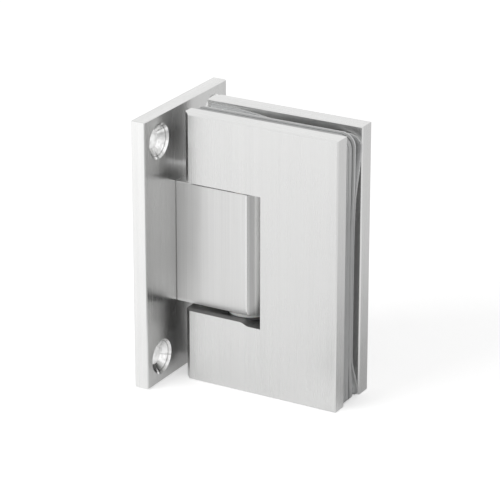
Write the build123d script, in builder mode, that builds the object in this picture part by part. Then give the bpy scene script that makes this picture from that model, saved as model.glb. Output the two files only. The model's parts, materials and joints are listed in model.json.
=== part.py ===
from build123d import *
import math
import os

# Wall-to-glass hinge for a glass door, all lengths in millimetres
# X runs out from the wall, Y runs through the glass, Z is up
# The origin is the centre of the wall plate's back face
# The viewer stands on the side of negative Y, where the plain front clamp plate is

# Wall plate
wall_plate_width = 50.0
wall_plate_height = 90.0
wall_plate_thickness = 5.0
wall_plate_edge_break = 0.3
wall_hole_spacing_across = 33.0
wall_hole_spacing_up = 73.0
wall_hole_diameter = 6.2
wall_hole_countersink_diameter = 11.6
countersink_angle = 90.0

# Clamp plates
clamp_length = 55.0
clamp_height = 90.0
clamp_plate_thickness = 6.0
glass_slot_width = 10.0
clamp_to_wall_gap = 5.0
clamp_bevel = 2.1
clamp_edge_break = 0.4
clamp_inner_edge_break = 0.4

# Notch in both clamp plates, seen from its wall-side mouth
notch_depth = 28.0
notch_ceiling_height = 22.2
notch_floor_height = 21.2
notch_relief_depth = 1.0
notch_relief_length = 7.6
notch_relief_run = 3.6

# Pivot block on the wall plate
block_thickness = 14.0
block_height = 40.8
axis_to_wall = 28.2
block_nose_radius = 7.5
block_edge_break = 0.2
block_foot_chamfer = 0.25
spring_pocket_width = 9.6
spring_pocket_height = 24.0
spring_pocket_corner = 2.4

# Pivot pin
pin_diameter = 9.0
pin_flat_distance = 3.7
pin_cam_height = 23.0
pin_tongue_thickness = 5.0
pin_tongue_reach = 10.0
pin_edge_break = 0.4
pin_cross_hole_diameter = 4.3
pin_cross_hole_inset = 5.2

# Nylon bushes and thrust washers
bush_wall = 0.75
bush_length = 8.6
bush_flange_diameter = 14.4
bush_flange_thickness = 0.8
washer_thickness = 0.9

# Leaf springs that press on the pin's flat, and the keeper behind them
leaf_count = 3
leaf_thickness = 0.5
leaf_width = 8.6
leaf_length = 22.0
leaf_rise = 1.5
keeper_ledge_height = 2.0
keeper_hollow_depth = 0.75

# Screws that hold the block to the wall plate
block_screw_diameter = 5.0
block_screw_head_diameter = 9.6
block_screw_length = 16.0
block_screw_spacing = 32.4
block_screw_hole_spare = 2.0
block_screw_socket = 3.0
block_screw_socket_depth = 1.8

# Screws that clamp the glass
clamp_screw_diameter = 5.0
clamp_screw_head_diameter = 9.6
clamp_screw_length = 18.0
clamp_screw_socket = 3.0
clamp_screw_socket_depth = 1.8
clamp_screw_inset_near = 8.3
clamp_screw_inset_far = 31.0
clamp_screw_inset_top = 11.0
clamp_boss_diameter = 9.0
clamp_boss_height = 5.0
clamp_hole_end_wall = 2.0

# Pin seats inside the front clamp plate, and their screws
pin_seat_side_wall = 2.4
pin_seat_end_wall = 0.8
pin_screw_diameter = 4.0
pin_screw_head_diameter = 6.8
pin_screw_head_height = 2.0
pin_screw_length = 8.0
pin_screw_socket = 2.5
pin_screw_socket_depth = 1.2

# Gaskets between the clamp plates
thin_gasket = 0.9
thick_gasket = 1.9
gasket_margin_mouth = 0.4
gasket_margin_end = 0.1
gasket_margin_top = 0.9
gasket_margin_bottom = 0.2
gasket_upper_corner_radius = 4.3
gasket_lower_corner_radius = 1.5
gasket_mouth_corner_radius = 0.6
gasket_cut_depth = 30.5
gasket_cut_clearance = 1.2
gasket_ear_clearance = 1.2
bowed_gasket_margin_mouth = 1.5
gasket_wave_height = 3.2
gasket_wave_length = 22.0
gasket_wave_start = 2.5

# Clearances
running_clearance = 0.04
thrust_clearance = 0.05
seat_clearance = 0.05
thread_clearance = 0.08
press_clearance = 0.01
washer_clearance = 0.5
leaf_clearance = 0.02

# Places worked out from the sizes above
clamp_near = wall_plate_thickness + clamp_to_wall_gap
clamp_far = clamp_near + clamp_length
clamp_half_height = clamp_height / 2
slot_half = glass_slot_width / 2
clamp_outer = slot_half + clamp_plate_thickness
notch_end = clamp_near + notch_depth
block_half = block_thickness / 2
block_half_height = block_height / 2
pin_radius = pin_diameter / 2
bush_bore_radius = pin_radius + running_clearance
bush_outer_radius = bush_bore_radius + bush_wall
block_bore_radius = bush_outer_radius + press_clearance
bush_flange_radius = bush_flange_diameter / 2
flange_top = block_half_height + bush_flange_thickness
washer_bottom = flange_top + thrust_clearance
washer_top = washer_bottom + washer_thickness
pin_shoulder = notch_ceiling_height
tongue_half = pin_tongue_thickness / 2
pin_end = pin_shoulder + pin_tongue_reach
pin_screw_z = pin_end - pin_cross_hole_inset
pin_seat_top = pin_end + seat_clearance + pin_seat_end_wall
pin_seat_half = pin_radius + pin_seat_side_wall
clamp_screw_near = clamp_near + clamp_screw_inset_near
clamp_screw_far = clamp_near + clamp_screw_inset_far
clamp_screw_height = clamp_half_height - clamp_screw_inset_top
clamp_screw_places = [
    ("upper_near", clamp_screw_near, clamp_screw_height),
    ("lower_near", clamp_screw_near, -clamp_screw_height),
    ("upper_far", clamp_screw_far, clamp_screw_height),
    ("lower_far", clamp_screw_far, -clamp_screw_height),
]
spring_face = axis_to_wall - pin_flat_distance - seat_clearance
leaf_pitch = leaf_thickness + leaf_clearance
spring_rest = spring_face - leaf_count * leaf_pitch - leaf_rise

os.makedirs("parts", exist_ok=True)


def side_plane(offset):
    """A drawing plane across the hinge: its X is the hinge's X, its Y is up, its normal is -Y."""
    return Plane(origin=(0, offset, 0), x_dir=(1, 0, 0), z_dir=(0, -1, 0))


def top_plane(height):
    """A drawing plane level with the floor at a height."""
    return Plane.XY.offset(height)


def out_plane(offset):
    """A drawing plane that faces away from the wall: its X is the hinge's Y, its Y is up."""
    return Plane(origin=(offset, 0, 0), x_dir=(0, 1, 0), z_dir=(1, 0, 0))


def back_plane(offset):
    """A drawing plane that faces the wall: its X is against the hinge's Y, its Y is up."""
    return Plane(origin=(offset, 0, 0), x_dir=(0, -1, 0), z_dir=(-1, 0, 0))


def countersink_depth(head_diameter, hole_diameter):
    """Depth of a cone from the head's diameter down to the hole's."""
    return (head_diameter - hole_diameter) / 2 / math.tan(math.radians(countersink_angle / 2))


# Wall plate: four empty countersunk holes for the wall, two from behind for the block
with BuildPart() as wall_plate:
    with BuildSketch(out_plane(0)):
        Rectangle(wall_plate_width, wall_plate_height)
    extrude(amount=wall_plate_thickness)
    chamfer(wall_plate.edges(), wall_plate_edge_break)
    with Locations(out_plane(wall_plate_thickness)):
        with GridLocations(wall_hole_spacing_across, wall_hole_spacing_up, 2, 2):
            CounterSinkHole(
                wall_hole_diameter / 2,
                wall_hole_countersink_diameter / 2,
                counter_sink_angle=countersink_angle,
            )
    with Locations(back_plane(0)):
        with GridLocations(0, block_screw_spacing, 1, 2):
            CounterSinkHole(
                block_screw_diameter / 2 + thread_clearance,
                block_screw_head_diameter / 2 + seat_clearance,
                counter_sink_angle=countersink_angle,
            )
wall_plate.part.label = "wall_plate"
export_step(wall_plate.part, "parts/wall_plate.step")

# Pivot block: a flat-sided bar with a round nose about the axis, bored for the pin
block_length = axis_to_wall - wall_plate_thickness
nose_flat_reach = math.sqrt(block_nose_radius**2 - block_half**2)
with BuildPart() as pivot_block:
    with BuildSketch(top_plane(-block_half_height)):
        with BuildLine():
            Polyline(
                (axis_to_wall + nose_flat_reach, -block_half),
                (wall_plate_thickness, -block_half),
                (wall_plate_thickness, block_half),
                (axis_to_wall + nose_flat_reach, block_half),
            )
            ThreePointArc(
                (axis_to_wall + nose_flat_reach, block_half),
                (axis_to_wall + block_nose_radius, 0),
                (axis_to_wall + nose_flat_reach, -block_half),
            )
        make_face()
    extrude(amount=block_height)
    block_rims = pivot_block.faces().filter_by(Axis.Z).edges()
    chamfer(block_rims.filter_by(lambda edge: edge.center().X > wall_plate_thickness), block_edge_break)
    chamfer(pivot_block.faces().sort_by(Axis.X)[0].edges(), block_foot_chamfer)
    with BuildSketch(top_plane(-block_half_height)):
        with Locations((axis_to_wall, 0)):
            Circle(block_bore_radius)
    extrude(amount=block_height, mode=Mode.SUBTRACT)
    with BuildSketch(out_plane(wall_plate_thickness)):
        RectangleRounded(spring_pocket_width, spring_pocket_height, spring_pocket_corner)
    extrude(amount=block_length, mode=Mode.SUBTRACT)
    with BuildSketch(out_plane(wall_plate_thickness)):
        with GridLocations(0, block_screw_spacing, 1, 2):
            Circle(block_screw_diameter / 2 + thread_clearance)
    extrude(amount=block_screw_length - wall_plate_thickness + block_screw_hole_spare, mode=Mode.SUBTRACT)
pivot_block.part.label = "pivot_block"
export_step(pivot_block.part, "parts/pivot_block.step")

# Block screws: countersunk, socket head, driven from the back of the wall plate
for label, height in [
    ("block_screw_upper", block_screw_spacing / 2),
    ("block_screw_lower", -block_screw_spacing / 2),
]:
    head_depth = countersink_depth(block_screw_head_diameter, block_screw_diameter)
    with BuildPart() as block_screw:
        with BuildSketch(Plane.XZ):
            with BuildLine():
                Polyline(
                    (seat_clearance, height),
                    (seat_clearance, height + block_screw_head_diameter / 2),
                    (seat_clearance + head_depth, height + block_screw_diameter / 2),
                    (block_screw_length, height + block_screw_diameter / 2),
                    (block_screw_length, height),
                    close=True,
                )
            make_face()
        revolve(axis=Axis((0, 0, height), (1, 0, 0)))
        with BuildSketch(out_plane(0)):
            with Locations((0, height)):
                RegularPolygon(block_screw_socket / 2, 6, major_radius=False)
        extrude(amount=block_screw_socket_depth, mode=Mode.SUBTRACT)
    block_screw.part.label = label
    export_step(block_screw.part, f"parts/{label}.step")

# Bushes: flanged nylon sleeves pressed into both ends of the block's bore
for label, side in [("bush_upper", 1), ("bush_lower", -1)]:
    with BuildPart() as bush:
        with BuildSketch(Plane.XZ):
            with BuildLine():
                Polyline(
                    (axis_to_wall + bush_bore_radius, side * (block_half_height - bush_length)),
                    (axis_to_wall + bush_outer_radius, side * (block_half_height - bush_length)),
                    (axis_to_wall + bush_outer_radius, side * block_half_height),
                    (axis_to_wall + bush_flange_radius, side * block_half_height),
                    (axis_to_wall + bush_flange_radius, side * flange_top),
                    (axis_to_wall + bush_bore_radius, side * flange_top),
                    close=True,
                )
            make_face()
        revolve(axis=Axis((axis_to_wall, 0, 0), (0, 0, 1)))
    bush.part.label = label
    export_step(bush.part, f"parts/{label}.step")

# Leaf springs: arched strips stacked behind the pin's flat, ends towards the wall
leaf_half = leaf_length / 2
for index in range(leaf_count):
    front = spring_face - index * leaf_pitch
    with BuildPart() as leaf_spring:
        with BuildSketch(Plane.XZ):
            with BuildLine():
                front_arc = ThreePointArc(
                    (front - leaf_rise, -leaf_half),
                    (front, 0),
                    (front - leaf_rise, leaf_half),
                )
                back_arc = ThreePointArc(
                    (front - leaf_rise - leaf_thickness, -leaf_half),
                    (front - leaf_thickness, 0),
                    (front - leaf_rise - leaf_thickness, leaf_half),
                )
                Line(front_arc @ 0, back_arc @ 0)
                Line(front_arc @ 1, back_arc @ 1)
            make_face()
        extrude(amount=leaf_width / 2, both=True)
    leaf_spring.part.label = f"leaf_spring_{index + 1}"
    export_step(leaf_spring.part, f"parts/{leaf_spring.part.label}.step")

# Spring keeper: fills the pocket from the wall plate to the ends of the leaf springs
with BuildPart() as spring_keeper:
    with BuildSketch(out_plane(wall_plate_thickness)):
        RectangleRounded(
            spring_pocket_width - 2 * seat_clearance,
            spring_pocket_height - 2 * seat_clearance,
            spring_pocket_corner - seat_clearance,
        )
    extrude(amount=spring_rest - wall_plate_thickness)
    with BuildSketch(out_plane(spring_rest)):
        Rectangle(spring_pocket_width, spring_pocket_height - 2 * keeper_ledge_height - 2 * seat_clearance)
    extrude(amount=-keeper_hollow_depth, mode=Mode.SUBTRACT)
spring_keeper.part.label = "spring_keeper"
export_step(spring_keeper.part, "parts/spring_keeper.step")

# Pivot pin: round at the bushes, square with rounded corners between them, flat tongues at its ends
with BuildPart() as pivot_pin:
    with BuildSketch(top_plane(-pin_end)):
        with Locations((axis_to_wall, 0)):
            Circle(pin_radius)
    extrude(amount=2 * pin_end)
    chamfer(pivot_pin.faces().filter_by(Axis.Z).edges(), pin_edge_break)
    with BuildSketch(top_plane(-pin_cam_height / 2)):
        with Locations((axis_to_wall, 0)):
            Circle(pin_diameter)
            Rectangle(2 * pin_flat_distance, 2 * pin_flat_distance, mode=Mode.SUBTRACT)
    extrude(amount=pin_cam_height, mode=Mode.SUBTRACT)
    for side in (1, -1):
        for height in (pin_shoulder, -pin_shoulder - pin_tongue_reach):
            with BuildSketch(top_plane(height)):
                with Locations((axis_to_wall, side * (tongue_half + pin_radius))):
                    Rectangle(2 * pin_diameter, pin_diameter)
            extrude(amount=pin_tongue_reach, mode=Mode.SUBTRACT)
    with BuildSketch(side_plane(pin_radius)):
        with Locations((axis_to_wall, pin_screw_z), (axis_to_wall, -pin_screw_z)):
            Circle(pin_cross_hole_diameter / 2)
    extrude(amount=pin_diameter, mode=Mode.SUBTRACT)
pivot_pin.part.label = "pivot_pin"
export_step(pivot_pin.part, "parts/pivot_pin.step")

# Thrust washers between the bush flanges and the clamp plates
for label, side in [("thrust_washer_upper", 1), ("thrust_washer_lower", -1)]:
    with BuildPart() as thrust_washer:
        with BuildSketch(top_plane(side * washer_bottom)):
            with Locations((axis_to_wall, 0)):
                Circle(bush_flange_radius)
                Circle(pin_radius + running_clearance, mode=Mode.SUBTRACT)
        extrude(amount=side * washer_thickness)
    thrust_washer.part.label = label
    export_step(thrust_washer.part, f"parts/{label}.step")


def clamp_outline():
    """Outline of a clamp plate with its notch, in a side plane."""
    relief_start = notch_end - notch_relief_length
    relief_end = relief_start + notch_relief_run
    relief_floor = -notch_floor_height - notch_relief_depth
    with BuildLine() as outline:
        Polyline(
            (clamp_near, -notch_floor_height),
            (clamp_near, -clamp_half_height),
            (clamp_far, -clamp_half_height),
            (clamp_far, clamp_half_height),
            (clamp_near, clamp_half_height),
            (clamp_near, notch_ceiling_height),
            (notch_end, notch_ceiling_height),
            (notch_end, relief_floor),
            (relief_end, relief_floor),
        )
        Spline(
            (relief_end, relief_floor),
            (relief_start, -notch_floor_height),
            tangents=[(-1, 0), (-1, 0)],
        )
        Line((relief_start, -notch_floor_height), (clamp_near, -notch_floor_height))
    return outline


def clamp_blank(side):
    """A clamp plate before its holes, front where side is -1 and rear where side is 1."""
    outer = -1 if side > 0 else 0
    inner = 0 if side > 0 else -1
    outline = clamp_outline()

    def on_rim(edge):
        """True for an edge at the far end, the top or the bottom of the plate."""
        at_end = edge.center().X > clamp_far - seat_clearance
        return at_end or abs(edge.center().Z) > clamp_half_height - seat_clearance

    with BuildPart() as plate:
        with BuildSketch(side_plane(side * slot_half)):
            add(outline.line)
            make_face()
        extrude(amount=-side * clamp_plate_thickness)
        outer_edges = plate.faces().sort_by(Axis.Y)[outer].edges()
        chamfer(outer_edges.filter_by(Axis.Z).group_by(Axis.X)[0], clamp_bevel)
        chamfer(plate.faces().sort_by(Axis.Y)[outer].edges().filter_by(on_rim), clamp_edge_break)
        chamfer(plate.faces().sort_by(Axis.Y)[inner].edges().filter_by(on_rim), clamp_inner_edge_break)
        with BuildSketch(top_plane(-notch_ceiling_height)):
            with Locations((axis_to_wall, 0)):
                Circle(bush_flange_radius + washer_clearance)
        extrude(amount=2 * notch_ceiling_height, mode=Mode.SUBTRACT)
    return plate.part


# Front clamp plate: threaded bosses for the clamp screws and grooved seats for the pin's tongues
front_blank = clamp_blank(-1)
with BuildPart() as front_clamp_plate:
    add(front_blank)
    with BuildSketch(side_plane(-slot_half)):
        for name, across, height in clamp_screw_places:
            with Locations((across, height)):
                Circle(clamp_boss_diameter / 2)
    extrude(amount=-clamp_boss_height)
    for side in (1, -1):
        seat_middle = side * (pin_shoulder + pin_seat_top) / 2
        with BuildSketch(side_plane(-slot_half)):
            with Locations((axis_to_wall, seat_middle)):
                Rectangle(2 * pin_seat_half, pin_seat_top - pin_shoulder)
        extrude(amount=-clamp_boss_height)
        groove_middle = side * (pin_shoulder + pin_end + seat_clearance) / 2
        with BuildSketch(side_plane(-tongue_half - seat_clearance)):
            with Locations((axis_to_wall, groove_middle)):
                Rectangle(pin_diameter + 2 * seat_clearance, pin_tongue_reach + seat_clearance)
        extrude(amount=-slot_half, mode=Mode.SUBTRACT)
    with BuildSketch(side_plane(-clamp_outer + clamp_hole_end_wall)):
        for name, across, height in clamp_screw_places:
            with Locations((across, height)):
                Circle(clamp_screw_diameter / 2 + thread_clearance)
        with Locations((axis_to_wall, pin_screw_z), (axis_to_wall, -pin_screw_z)):
            Circle(pin_screw_diameter / 2 + thread_clearance)
    extrude(amount=-clamp_outer, mode=Mode.SUBTRACT)
front_clamp_plate.part.label = "front_clamp_plate"
export_step(front_clamp_plate.part, "parts/front_clamp_plate.step")

# Rear clamp plate: the same outline with four countersunk holes
rear_blank = clamp_blank(1)
with BuildPart() as rear_clamp_plate:
    add(rear_blank)
    for name, across, height in clamp_screw_places:
        with Locations(Plane(origin=(across, clamp_outer, height), x_dir=(-1, 0, 0), z_dir=(0, 1, 0))):
            CounterSinkHole(
                clamp_screw_diameter / 2 + thread_clearance,
                clamp_screw_head_diameter / 2 + seat_clearance,
                counter_sink_angle=countersink_angle,
            )
rear_clamp_plate.part.label = "rear_clamp_plate"
export_step(rear_clamp_plate.part, "parts/rear_clamp_plate.step")

# Clamp screws: countersunk, socket head, from the rear plate into the front plate's bosses
for name, across, height in clamp_screw_places:
    head_depth = countersink_depth(clamp_screw_head_diameter, clamp_screw_diameter)
    screw_top = clamp_outer - seat_clearance
    screw_tip = screw_top - clamp_screw_length
    with BuildPart() as clamp_screw:
        with BuildSketch(top_plane(height)):
            with BuildLine():
                Polyline(
                    (across, screw_top),
                    (across + clamp_screw_head_diameter / 2, screw_top),
                    (across + clamp_screw_diameter / 2, screw_top - head_depth),
                    (across + clamp_screw_diameter / 2, screw_tip),
                    (across, screw_tip),
                    close=True,
                )
            make_face()
        revolve(axis=Axis((across, 0, height), (0, 1, 0)))
        with BuildSketch(side_plane(clamp_outer)):
            with Locations((across, height)):
                RegularPolygon(clamp_screw_socket / 2, 6, major_radius=False)
        extrude(amount=clamp_screw_socket_depth, mode=Mode.SUBTRACT)
    clamp_screw.part.label = f"clamp_screw_{name}"
    export_step(clamp_screw.part, f"parts/{clamp_screw.part.label}.step")

# Pin screws: low cheese heads on the pin's rear flats, into the pin seats
for label, side in [("pin_screw_upper", 1), ("pin_screw_lower", -1)]:
    head_seat = tongue_half + seat_clearance
    screw_top = head_seat + pin_screw_head_height
    screw_tip = head_seat - pin_screw_length
    with BuildPart() as pin_screw:
        with BuildSketch(top_plane(side * pin_screw_z)):
            with BuildLine():
                Polyline(
                    (axis_to_wall, screw_top),
                    (axis_to_wall + pin_screw_head_diameter / 2, screw_top),
                    (axis_to_wall + pin_screw_head_diameter / 2, head_seat),
                    (axis_to_wall + pin_screw_diameter / 2, head_seat),
                    (axis_to_wall + pin_screw_diameter / 2, screw_tip),
                    (axis_to_wall, screw_tip),
                    close=True,
                )
            make_face()
        revolve(axis=Axis((axis_to_wall, 0, side * pin_screw_z), (0, 1, 0)))
        with BuildSketch(side_plane(screw_top)):
            with Locations((axis_to_wall, side * pin_screw_z)):
                RegularPolygon(pin_screw_socket / 2, 6, major_radius=False)
        extrude(amount=pin_screw_socket_depth, mode=Mode.SUBTRACT)
    pin_screw.part.label = label
    export_step(pin_screw.part, f"parts/{label}.step")

# Gaskets: sheets cut out round the notch, the pin seats and the screw bosses
gasket_near = clamp_near + gasket_margin_mouth
gasket_far = clamp_far - gasket_margin_end
gasket_top = clamp_half_height - gasket_margin_top
gasket_bottom = -clamp_half_height + gasket_margin_bottom
gasket_height = gasket_top - gasket_bottom
gasket_cut_half = pin_seat_top + gasket_cut_clearance
gasket_ear_radius = clamp_boss_diameter / 2 + gasket_ear_clearance
with BuildSketch(side_plane(slot_half)) as gasket_outline:
    with Locations(((gasket_near + gasket_far) / 2, (gasket_top + gasket_bottom) / 2)):
        Rectangle(gasket_far - gasket_near, gasket_height)
    far_corners = gasket_outline.vertices().group_by(Axis.X)[-1].sort_by(Axis.Y)
    fillet(far_corners[-1], gasket_upper_corner_radius)
    fillet(far_corners[0], gasket_lower_corner_radius)
    fillet(gasket_outline.vertices().group_by(Axis.X)[0], gasket_mouth_corner_radius)
    with Locations((clamp_near + gasket_cut_depth / 2, 0)):
        Rectangle(gasket_cut_depth, 2 * gasket_cut_half, mode=Mode.SUBTRACT)
    for name, across, height in clamp_screw_places:
        with Locations((across, height)):
            Circle(gasket_ear_radius, mode=Mode.SUBTRACT)

gasket_face = -slot_half
for label, thickness in [
    ("gasket_front_thin", thin_gasket),
    ("gasket_front_thick", thick_gasket),
    ("gasket_rear_thick", thick_gasket),
]:
    with BuildPart() as gasket:
        extrude(gasket_outline.sketch, amount=slot_half - gasket_face)
        with BuildSketch(top_plane(gasket_bottom)):
            with Locations(((gasket_near + gasket_far) / 2, gasket_face + thickness / 2)):
                Rectangle(gasket_far - gasket_near, thickness)
        extrude(amount=gasket_height, mode=Mode.INTERSECT)
    gasket.part.label = label
    export_step(gasket.part, f"parts/{label}.step")
    gasket_face += thickness

# Rear thin gasket: its wall-side edge bows across to the rear plate, the rest lies on the others
bow_near = clamp_near + bowed_gasket_margin_mouth
bow_start = bow_near + gasket_wave_start
bow_end = bow_start + gasket_wave_length
bow_face = gasket_face + gasket_wave_height
with BuildPart() as gasket_rear_thin:
    extrude(gasket_outline.sketch, amount=slot_half - gasket_face)
    with BuildSketch(top_plane(gasket_bottom)):
        with BuildLine():
            for step in (0, thin_gasket):
                Line((bow_near, bow_face + step), (bow_start, bow_face + step))
                Spline(
                    (bow_start, bow_face + step),
                    (bow_end, gasket_face + step),
                    tangents=[(1, 0), (1, 0)],
                )
                Line((bow_end, gasket_face + step), (gasket_far, gasket_face + step))
            Line((bow_near, bow_face), (bow_near, bow_face + thin_gasket))
            Line((gasket_far, gasket_face), (gasket_far, gasket_face + thin_gasket))
        make_face()
    extrude(amount=gasket_height, mode=Mode.INTERSECT)
gasket_rear_thin.part.label = "gasket_rear_thin"
export_step(gasket_rear_thin.part, "parts/gasket_rear_thin.step")
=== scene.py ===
import json
import math

import bpy
import numpy as np
from bpy.props import FloatProperty, FloatVectorProperty, PointerProperty
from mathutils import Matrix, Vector


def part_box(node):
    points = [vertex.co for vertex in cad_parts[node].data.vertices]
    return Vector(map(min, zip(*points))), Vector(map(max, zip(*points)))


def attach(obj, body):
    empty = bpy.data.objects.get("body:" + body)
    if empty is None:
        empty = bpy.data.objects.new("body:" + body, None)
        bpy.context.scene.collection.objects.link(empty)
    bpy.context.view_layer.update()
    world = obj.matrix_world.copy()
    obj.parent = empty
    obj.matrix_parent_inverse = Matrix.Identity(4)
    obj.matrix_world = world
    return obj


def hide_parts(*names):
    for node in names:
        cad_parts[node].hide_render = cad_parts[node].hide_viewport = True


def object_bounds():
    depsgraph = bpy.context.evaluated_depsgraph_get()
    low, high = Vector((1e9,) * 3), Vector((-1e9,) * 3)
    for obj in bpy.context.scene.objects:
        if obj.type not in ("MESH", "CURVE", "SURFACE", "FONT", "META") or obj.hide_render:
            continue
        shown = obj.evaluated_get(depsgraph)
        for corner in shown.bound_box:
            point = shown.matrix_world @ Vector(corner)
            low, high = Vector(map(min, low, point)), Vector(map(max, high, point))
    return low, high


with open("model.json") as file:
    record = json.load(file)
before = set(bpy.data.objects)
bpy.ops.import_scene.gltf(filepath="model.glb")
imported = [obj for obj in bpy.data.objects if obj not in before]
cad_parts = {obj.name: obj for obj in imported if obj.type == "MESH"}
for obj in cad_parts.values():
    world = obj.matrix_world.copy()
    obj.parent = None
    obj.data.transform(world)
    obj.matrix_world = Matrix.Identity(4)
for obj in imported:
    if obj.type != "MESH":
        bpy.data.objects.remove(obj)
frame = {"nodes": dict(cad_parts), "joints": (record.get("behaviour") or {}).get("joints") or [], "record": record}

bl_info = {
    "name": "Wall-to-Glass Hinge",
    "version": (1, 0, 0),
    "blender": (4, 5, 0),
    "location": "View3D > Sidebar > Hinge",
    "description": "Brushed finish, gaskets and studio for a wall-to-glass door hinge",
    "category": "Object",
}

# The CAD model that the finish goes on

BASE_BOX = [list(corner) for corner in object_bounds()]
MM = 0.001

MOUNTS = {mount["name"]: mount for mount in frame["record"]["mounts"]}
HOLES = MOUNTS["wall_holes"]["dims"]
JOINT = frame["joints"][0]
FRONT_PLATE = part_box("front_clamp_plate")
REAR_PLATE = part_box("rear_clamp_plate")
SLOT_REACH = REAR_PLATE[0][1] + 0.1 * MM

CLAMP_PLATES = ("front_clamp_plate", "rear_clamp_plate")
BLOCK_SCREWS = ("block_screw_upper", "block_screw_lower")
CLAMP_SCREWS = (
    "clamp_screw_upper_near",
    "clamp_screw_lower_near",
    "clamp_screw_upper_far",
    "clamp_screw_lower_far",
)
PIN_SCREWS = ("pin_screw_upper", "pin_screw_lower")
BUSHES = ("bush_upper", "bush_lower")
WASHERS = ("thrust_washer_upper", "thrust_washer_lower")
LEAF_SPRINGS = ("leaf_spring_1", "leaf_spring_2", "leaf_spring_3")
GASKETS = ("gasket_front_thin", "gasket_front_thick", "gasket_rear_thick", "gasket_rear_thin")

# Shading of the CAD meshes

WELD_DISTANCE = 0.002 * MM
SHARP_ANGLE = math.radians(15)

# Brushed steel

MARK_CRISPNESS = 0.6
BROAD_GRAIN = 8.0
CLOUD_SCALE = 90.0
MARK_TONE = 0.13
BROAD_TONE = 0.09
CLOUD_TONE = 0.04
MARK_ROUGHNESS = 0.10
CLOUD_ROUGHNESS = 0.04
WALL_MARKS = 1.0
BLOCK_MARKS = 1.35
CLAMP_MARKS = 0.68
LEVEL_FACE = 0.7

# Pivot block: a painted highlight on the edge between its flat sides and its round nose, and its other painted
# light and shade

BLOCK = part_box("pivot_block")
NOSE_RADIUS = 7.5 * MM
NOSE_EDGE = BLOCK[1][0] - NOSE_RADIUS + math.sqrt(NOSE_RADIUS**2 - BLOCK[1][1] ** 2)
# A painted highlight line on the edge between the flat sides and the nose
EDGE_HIGHLIGHT_HALF_WIDTH = 0.45 * MM
EDGE_HIGHLIGHT_TONE = 1.13
EDGE_HIGHLIGHT_POLISH = 0.4
# Painted light: a lighter patch on the sides between the foot and the middle
LIGHT_PATCH_FROM = (3 * MM, 11 * MM)
LIGHT_PATCH_TO = (13 * MM, 24 * MM)
LIGHT_PATCH_TONE = 0.19
# Painted light in a band along the lower edge of the sides
LOWER_EDGE_BAND = (-BLOCK[0][2] - 1.5 * MM, -BLOCK[0][2] - 0.3 * MM)
LOWER_EDGE_LIGHT = 0.22
# Painted shade across the nose up to a painted highlight line, and painted light past it
NOSE_START = (NOSE_EDGE + EDGE_HIGHLIGHT_HALF_WIDTH, NOSE_EDGE + 1.0 * MM)
NOSE_LINE = NOSE_EDGE + 2.35 * MM
NOSE_BLUR = 0.35 * MM
NOSE_SHADE = 0.07
NOSE_HIGHLIGHT = 0.32
NOSE_FADE = 0.10

# Clamp plates: painted shade in the notch, painted light in the glass slot, and a darker end towards the wall

NOTCH_END = 38.6 * MM
NOTCH_HALF = 24.0 * MM
NOTCH_FACE = 0.5
NOTCH_SHADE = 0.24
# Painted light on the faces within the glass slot
SLOT_LIGHT = 1.12
# The rear plate's end face towards the wall is darker
WALL_END_TONE = 0.45
MILLED_ROUGHNESS = 0.10

# Holes, edges and face of the wall plate, with painted reflections in the countersinks, a painted sheen on the
# edges and painted shade low on the face

FLAT_FACE = 0.99
COUNTERSINK_RADIUS = 5.95 * MM
BORE_RADIUS = 3.15 * MM
RIM_BLUR = 0.05 * MM
RING_PITCH = 0.16 * MM
RING_TONE = 0.16
RING_ROUGHNESS = 0.08
POLISHED_ROUGHNESS = 0.13
# Painted reflections in the countersinks: sectors round the axis and blotches
SWIRL_SCALE = 1.6
SWIRL_TONE = 0.45
BLOTCH_SCALE = (700.0, 700.0, 420.0)
BLOTCH_TONE = 0.95
GROOVE_RADIUS = 5.03 * MM
GROOVE_HALF_WIDTH = 0.15 * MM
GROOVE_DARK = 0.38
BORE_TONE = 0.88
BORE_ROUGHNESS = 0.36
# Painted sheen that lightens the wall plate's edge faces
EDGE_SHEEN_TONE = 1.17
# Painted shade that darkens the wall plate's flat face towards the bottom
FACE_FADE = (-10 * MM, 30 * MM)
FACE_FADE_DEPTH = 0.20
SIDE_FACE = 0.9

# Turned steel

LATHE_PITCH = 0.12 * MM
FACE_PITCH = 0.30 * MM
LATHE_DEPTH = 0.002 * MM
LATHE_TONE = 0.22
LATHE_ROUGHNESS = 0.10
MOTTLE_SCALE = 400.0
MOTTLE_TONE = 0.10
MOTTLE_ROUGHNESS = 0.06
SCREW_ROUGHNESS = 0.24
PIN_ROUGHNESS = 0.20
SPRING_ROUGHNESS = 0.26
KEEPER_ROUGHNESS = 0.34

# Noise detail: the usual one, and a finer one for blotches

PLAIN_DETAIL = 2.0
FINE_DETAIL = 3.0

# Nylon and vinyl: the least tone and roughness, and how far the noise adds to them

NYLON_CLOUD = 250.0
NYLON_SKIN = 2600.0
NYLON_TONE = 0.94
NYLON_TONE_SPREAD = 0.12
NYLON_ROUGHNESS = 0.42
NYLON_ROUGHNESS_SPREAD = 0.16
NYLON_SCATTER = 0.15
NYLON_SCATTER_DEPTH = 0.8 * MM
NYLON_SKIN_DEPTH = 0.004 * MM
VINYL_CLOUD = 160.0
VINYL_SKIN = 1500.0
VINYL_TONE = 0.92
VINYL_TONE_SPREAD = 0.16
VINYL_ROUGHNESS = 0.28
VINYL_ROUGHNESS_SPREAD = 0.14
VINYL_CLEARNESS = 0.28
VINYL_IOR = 1.53
VINYL_SKIN_DEPTH = 0.006 * MM

# Gasket mesh, with painted highlights and shade on the sheets' edges and painted light where they bow or flare

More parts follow.
